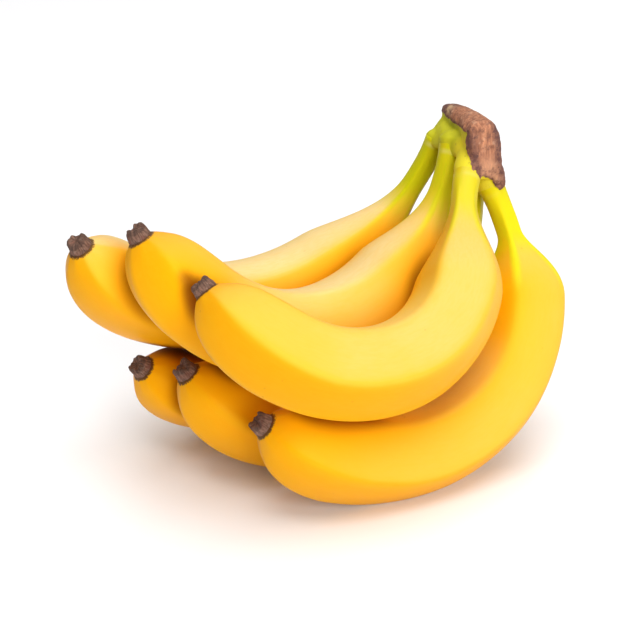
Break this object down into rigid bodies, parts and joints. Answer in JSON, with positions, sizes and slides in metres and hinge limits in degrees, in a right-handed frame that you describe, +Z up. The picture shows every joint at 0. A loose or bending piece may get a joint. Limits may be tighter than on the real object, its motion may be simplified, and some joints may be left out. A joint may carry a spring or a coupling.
{
  "type": "bunch of bananas",
  "caption": "Bunch of ripe curved bananas in two rows on one brown cut crown, lying on its lower bananas.",
  "frame": {"origin": "on the surface that the bunch lies on, under the middle of its bounding box", "axes": "+Z up from the surface; +X towards the crown end, the blossom ends point to -X; -Y towards the viewer of the picture"},
  "size_m": [0.1968, 0.1482, 0.1334],
  "materials": {
    "peel": "waxy ripe yellow banana skin, greener towards the crown",
    "crown": "dry brown corky cut stalk, yellow-green beside the pedicels",
    "blossom_end": "rough dried dark brown blossom end"
  },
  "bodies": {
    "root": {"banana_upper_back": "peel", "banana_upper_middle": "peel", "banana_upper_front": "peel", "banana_lower_front": "peel", "banana_lower_middle": "peel", "banana_lower_back": "peel", "blossom_end_upper_back": "blossom_end", "blossom_end_upper_middle": "blossom_end", "blossom_end_upper_front": "blossom_end", "blossom_end_lower_front": "blossom_end", "blossom_end_lower_middle": "blossom_end", "blossom_end_lower_back": "blossom_end", "crown": "crown"}
  },
  "joints": []
}
